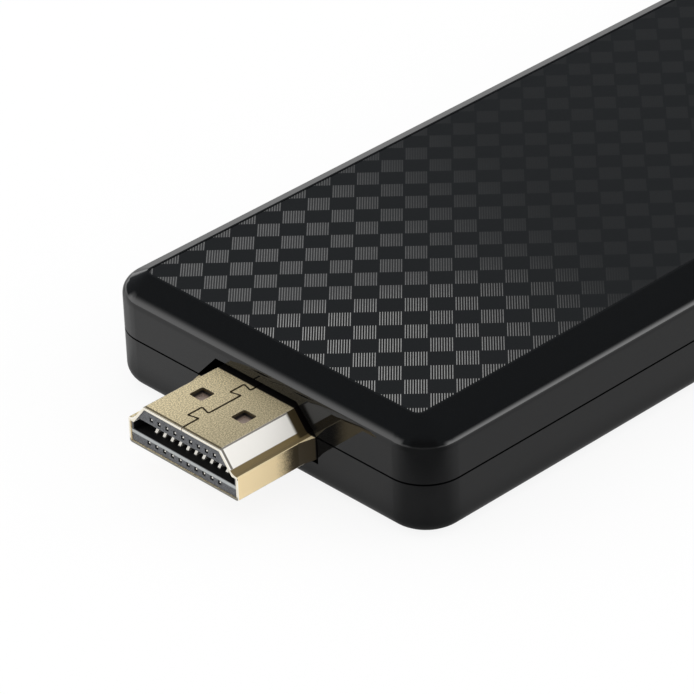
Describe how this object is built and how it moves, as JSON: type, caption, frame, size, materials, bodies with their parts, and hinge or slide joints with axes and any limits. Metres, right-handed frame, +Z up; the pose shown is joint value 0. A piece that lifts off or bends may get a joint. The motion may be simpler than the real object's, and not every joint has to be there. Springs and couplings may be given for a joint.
{
  "type": "mini pc dongle",
  "caption": "Flat stick-shaped computer with a video plug at one end, a host port at the other, small ports on one long side and a patterned glossy top.",
  "frame": {"origin": "under the middle of the whole object, on the plane it lies on", "axes": "+X from the video plug to the rear end, +Z up out of the patterned top, +Y towards the long side with the ports"},
  "size_m": [0.1008, 0.0404, 0.011],
  "materials": {
    "housing_plastic": "polished black",
    "panel_plastic": "glossy black with a fine checked pattern",
    "label_film": "blank matt grey film",
    "gold_plate": "satin gold plating",
    "contact_gold": "polished gold plating",
    "grey_insulator": "matt dark grey moulding",
    "black_insulator": "matt black moulding",
    "board_laminate": "green solder mask on laminate",
    "chip_package": "matt black epoxy",
    "ferrite": "dark grey ferrite block",
    "ceramic": "tan ceramic",
    "can_metal": "bright drawn can",
    "port_metal": "nickel-plated sheet",
    "thermal_rubber": "soft blue-grey pad",
    "spreader_metal": "plain milled",
    "screw_metal": "zinc-plated",
    "button_plastic": "matt black",
    "spring_metal": "thin sprung sheet",
    "plunger_plastic": "pale grey",
    "lamp_resin": "clear-topped resin",
    "pipe_acrylic": "clear acrylic"
  },
  "bodies": {
    "stick": {"upper_shell": "housing_plastic", "lower_shell": "housing_plastic", "top_panel": "panel_plastic", "underside_label": "label_film", "video_plug_shell": "gold_plate", "video_plug_insulator": "grey_insulator", "video_plug_lower_contacts": "contact_gold", "video_plug_upper_contacts": "contact_gold", "main_board": "board_laminate", "processor": "chip_package", "flash_chip": "chip_package", "power_chip": "chip_package", "memory_chips": "chip_package", "power_inductors": "ferrite", "capacitors": "ceramic", "crystals": "can_metal", "thermal_pad": "thermal_rubber", "heat_spreader": "spreader_metal", "wireless_module": "board_laminate", "wireless_shield": "can_metal", "chip_antenna": "ceramic", "board_screws": "screw_metal", "host_port_shell": "port_metal", "host_port_tongue": "black_insulator", "host_port_contacts": "contact_gold", "power_port_shell": "port_metal", "power_port_tongue": "black_insulator", "power_port_contacts": "contact_gold", "data_port_shell": "port_metal", "data_port_tongue": "black_insulator", "data_port_contacts": "contact_gold", "card_socket_cover": "port_metal", "card_socket_base": "black_insulator", "card_socket_contacts": "contact_gold", "recovery_button_base": "button_plastic", "recovery_button_cover": "spring_metal", "recovery_button_dome": "spring_metal", "status_led": "lamp_resin", "light_pipe": "pipe_acrylic"},
    "recovery_plunger": {"recovery_button_plunger": "plunger_plastic"}
  },
  "joints": [
    {"name": "recovery_press", "type": "slide", "parent": "stick", "child": "recovery_plunger", "axis": [0, 0, 1], "range_m": [0, 0.00025], "stiffness_N_per_m": 6000, "deforming": ["recovery_button_dome"]}
  ]
}
